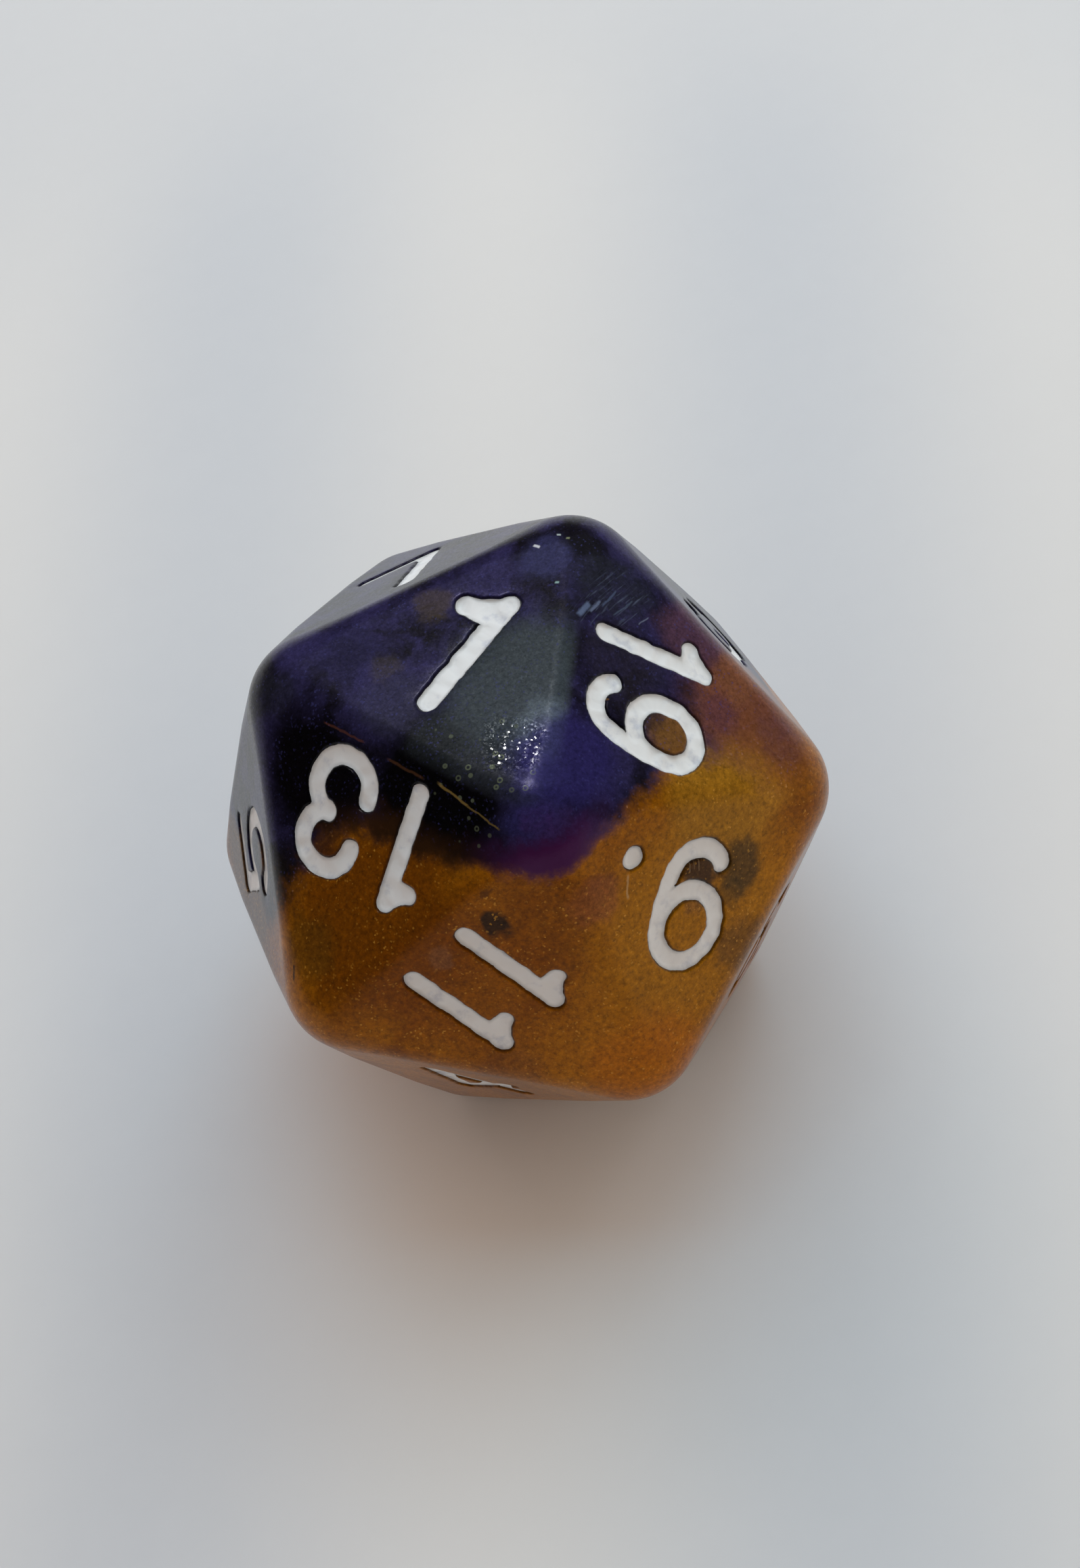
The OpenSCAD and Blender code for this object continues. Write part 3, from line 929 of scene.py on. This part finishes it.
def blemishes(m, colour, fine, place):
    """The colour with cut bubbles, scuffs and scratches."""
    ring = m.math("SUBTRACT", m.cells(m.place, BUBBLE_SCALE, "Distance"), BUBBLE_R)
    ring = m.ramp(m.math("ABSOLUTE", ring), 0.085, 0.03)
    ring = m.times(ring, m.ramp(m.part(m.cells(m.place, BUBBLE_SCALE), 2), 0.55, 0.6))
    for value, x, y, radius in BUBBLES:
        spot = m.ramp(m.near(on_face(value, x, y), radius), 0.05, 0.2)
        colour = m.mix(m.times(ring, spot, 0.5), colour, srgb(92, 98, 78))

    for value, x, y, radius, turn in SCUFFS:
        along, off = across(m, value, x, y, turn, m.place)
        grain = m.add("ShaderNodeCombineXYZ")
        m.feed(grain.inputs[0], m.times(along, 0.6))
        m.feed(grain.inputs[1], m.times(off, 9.0))
        streaks = m.ramp(m.noise(grain.outputs[0], 1.0, 3, 0.6), 0.52, 0.72)
        spot = m.ramp(m.near(on_face(value, x, y), radius, place), 0.0, SPOT_CORE)
        colour = m.mix(m.times(streaks, spot, 0.55), colour, srgb(104, 114, 138))

    wander = m.vector("ADD", m.place, m.vector("SCALE", fine, scale=0.25))
    for value, x0, y0, x1, y1, width, strength, *rgb in MARKS:
        x, y = (x0 + x1) / 2, (y0 + y1) / 2
        length = math.hypot(x1 - x0, y1 - y0)
        turn = math.degrees(math.atan2(y1 - y0, x1 - x0))
        along, off = across(m, value, x, y, turn, wander)
        line = m.times(
            m.ramp(m.math("ABSOLUTE", off), width * 1.5, width * 0.4),
            m.ramp(m.math("ABSOLUTE", along), length * 0.5 + width, length * 0.4),
            m.ramp(m.near(on_face(value, x, y), length + 0.3), 0, 0.2), strength)
        colour = m.mix(line, colour, srgb(*rgb))
    return colour


def resin():
    m = Nodes("swirled_resin")
    fine = drift(m, 1.7, 0.7)
    swirled = m.vector("ADD", m.place, m.vector("ADD", drift(m, 0.4, 1.3), fine))
    side = border_side(m)
    # The border is sharp, but a slow blend by the right-hand corner
    blend = m.ramp(m.near(on_face(19, 0.2, 4.8), 4.2), 0.0, 0.7, 1.0, 0.3)
    is_purple = m.ramp(m.times(side, blend), -0.42, 0.36)
    gold, purple = pigments(m, swirled)

    # Flakes that stand out from the mica, in some places more than in others: bright specks,
    # partly the mica's own tone and partly painted sparkle
    flake = m.cells(m.place, FLAKE_SCALE)
    pick, tone = m.part(flake, 0), m.part(flake, 1)
    lively = m.ramp(m.noise(m.place, 0.7, 2, 0.5), 0.4, 0.65, 0.35, 1.0)
    lively = m.times(lively, m.ramp(tone, 0, 1, 0.05, 0.42))
    gold = m.mix(m.times(m.ramp(pick, 0.93, 0.96), lively), gold, srgb(236, 170, 66))
    purple = m.mix(m.times(m.ramp(pick, 0.88, 0.93), lively), purple, srgb(66, 66, 124))

    colour = m.mix(is_purple, gold, purple)
    for value, x, y, radius, start, full, fading, end, strength, *rgb in FRINGES:
        fringe = m.times(m.ramp(side, start, full), m.ramp(side, end, fading),
                         m.near(on_face(value, x, y), radius))
        colour = m.mix(m.math("MULTIPLY", fringe, strength, clamp=True), colour, srgb(*rgb))
    colour = blemishes(m, colour, fine, swirled)
    # Painted shade on the lips of the engravings, next to their walls
    colour = m.shade(colour, m.edge_shade(LIP_SHADE))

    # Rubbed flakes next to the upper corner catch the light one by one
    rubbed = m.ramp(m.near(on_face(1, 3.8, -1.9), 1.8, swirled), 0.0, 0.75)
    tilt = m.vector("SCALE", m.vector("SUBTRACT", flake, MID_GREY),
                    scale=m.ramp(rubbed, 0, 1, 0.06, 0.33))
    out = m.add("ShaderNodeNewGeometry").outputs["Normal"]
    rough = m.vector("NORMALIZE", m.vector("ADD", out, tilt))
    satin = m.vector("NORMALIZE", m.vector("ADD", out, m.vector("SCALE", tilt, scale=0.7)))
    m.set(Base_Color=colour, Metallic=0.2, Roughness=0.32, IOR=1.08, Normal=rough,
          Coat_Weight=0.9, Coat_Roughness=m.ramp(rubbed, 0, 1, 0.26, 0.12),
          Coat_IOR=m.ramp(rubbed, 0, 1, 1.2, 1.4), Coat_Normal=satin)
    return m.material


def ink():
    m = Nodes("numeral_ink")
    mottle = m.noise(m.place, 1.3, 4, 0.6)
    colour = m.mix(m.ramp(mottle, 0.52, 0.78), srgb(228, 228, 228), srgb(192, 195, 205))
    # Painted shade along the ink's rim, next to the engraving's wall
    colour = m.shade(colour, m.edge_shade(INK_RIM_SHADE))
    m.set(Base_Color=colour, Roughness=0.5, IOR=1.45)
    return m.material


# ---------------------------------------------------------------- pieces

resin_material = resin()
ink_material = ink()

verts, normals, faces, edge_shade = body_mesh()
die = make_object("resin_body", verts, faces, edge_shade, normals)
die.data.materials.append(resin_material)
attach(die, "root")
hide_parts("die_body")

for value in FACES:
    verts, faces, rim, edge_shade = ink_mesh(value)
    fill = make_object(f"ink_{value}", verts, faces, edge_shade, sharp=rim)
    fill.data.materials.append(ink_material)
    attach(fill, "root")
    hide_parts(f"numeral_{value}")


# ---------------------------------------------------------------- the sheet under the die

SHEET_SIZE = 3.0    # metres
# Painted light on the sheet: faint broad bands of light across it, warmer where they are bright
LIGHT_BAND_DIRECTION = (0.919, -0.394, 0.0)
LIGHT_BAND_PITCH = 26.0
LIGHT_BAND_PHASE = 0.725
LIGHT_BAND_MIDDLE, LIGHT_BAND_REACH = (0.0, 8.0, -IN_R), 62.0    # the bands fade out away from here


def plane(name, size, height):
    h = size / 2
    mesh = bpy.data.meshes.new(name)
    mesh.from_pydata([(-h, -h, height), (h, -h, height), (h, h, height), (-h, h, height)], [],
                     [(0, 1, 2, 3)])
    obj = bpy.data.objects.new(name, mesh)
    bpy.context.scene.collection.objects.link(obj)
    return obj


def pale_sheet():
    m = Nodes("pale_sheet")
    # Painted light: broad bands across the sheet near the die
    turn = m.math("MULTIPLY_ADD", m.vector("DOT_PRODUCT", m.place, LIGHT_BAND_DIRECTION),
                  2 * math.pi / LIGHT_BAND_PITCH, LIGHT_BAND_PHASE)
    fade = m.ramp(m.near(LIGHT_BAND_MIDDLE, LIGHT_BAND_REACH), 0.0, 0.4)
    bright = m.math("MULTIPLY_ADD", m.times(m.math("COSINE", turn), fade), 0.5, 0.5)
    colour = m.mix(bright, srgb(207, 209, 213), srgb(224, 222, 220))
    fibres = m.times(m.noise(m.place, 0.6, 5, 0.6), 0.12)
    m.set(Base_Color=m.mix(fibres, colour, srgb(236, 236, 236)), Roughness=0.75, IOR=1.3)
    return m.material


floor = plane("floor", SHEET_SIZE, 0.0)
floor.data.materials.append(pale_sheet())


# ---------------------------------------------------------------- light

DIE_MIDDLE = Vector((0, 0, IN_R * MM))
# Soft boxes that light the surfaces: (name, azimuth, elevation, power, colour)
SOFT_BOXES = (
    ("high_box", 60, 62, 0.88, (0.28, 0.73, 1.0)),
    ("right_box", 30, 32, 0.93, (0.92, 0.98, 1.0)),
    ("back_box", 90, 32, 0.79, (1.0, 0.8, 0.73)),
    ("front_box", 330, 32, 0.25, (1.0, 0.84, 0.56)),
)
BOX_DISTANCE, BOX_SIZE = 0.5, (0.4, 0.4)
# Lights that are only seen as reflections: (name, direction, distance, size, power, colour)
REFLECTIONS = (
    ("lamp", (0.12, 0.36, 0.92), 0.60, (0.05, 0.05), 1.0, (1.0, 0.99, 0.97)),
    ("wall", (0.62, 0.35, 0.70), 0.50, (0.30, 0.40), 0.12, (0.9, 1.0, 1.0)),
)
SKY_COLOUR, SKY_STRENGTH = (1.0, 0.84, 0.74, 1), 0.448


def area_light(name, direction, distance, size, power, colour, diffuse=True, glossy=True):
    data = bpy.data.lights.new(name, "AREA")
    data.shape = "RECTANGLE"
    data.size, data.size_y = size
    data.energy = power
    data.color = colour
    obj = bpy.data.objects.new(name, data)
    toward = Vector(direction).normalized()
    obj.location = DIE_MIDDLE + toward * distance
    obj.rotation_euler = toward.to_track_quat("Z", "Y").to_euler()
    obj.visible_diffuse, obj.visible_glossy = diffuse, glossy
    bpy.context.scene.collection.objects.link(obj)


def compass(azimuth, elevation):
    a, e = math.radians(azimuth), math.radians(elevation)
    return (math.cos(e) * math.cos(a), math.cos(e) * math.sin(a), math.sin(e))


for name, azimuth, elevation, power, colour in SOFT_BOXES:
    area_light(name, compass(azimuth, elevation), BOX_DISTANCE, BOX_SIZE, power, colour,
               glossy=False)
for light in REFLECTIONS:
    area_light(*light, diffuse=False)

world = bpy.data.worlds.new("studio")
bpy.context.scene.world = world
world.use_nodes = True
world.cycles_visibility.glossy = False
background = world.node_tree.nodes["Background"]
background.inputs["Color"].default_value = SKY_COLOUR
background.inputs["Strength"].default_value = SKY_STRENGTH


# ---------------------------------------------------------------- camera

# Where the camera stood, in millimetres from the world's origin, and its right and up
CAMERA_PLACE = Vector((-6.752, -63.648, 100.598))
RIGHT = Vector((0.9011, -0.3869, -0.1958)).normalized()
UP = Vector((0.4277, 0.7179, 0.5493)).normalized()
BACK = RIGHT.cross(UP).normalized()

camera_data = bpy.data.cameras.new("camera")
camera_data.sensor_fit = "VERTICAL"
camera_data.sensor_height = 36.0
camera_data.lens = 68.7
camera_data.clip_start = 0.005
camera = bpy.data.objects.new("camera", camera_data)
turn = Matrix((RIGHT, BACK.cross(RIGHT), BACK)).transposed().to_4x4()
camera.matrix_world = Matrix.Translation(CAMERA_PLACE * MM) @ turn
bpy.context.scene.collection.objects.link(camera)
bpy.context.scene.camera = camera

bpy.context.scene.view_settings.view_transform = "Standard"
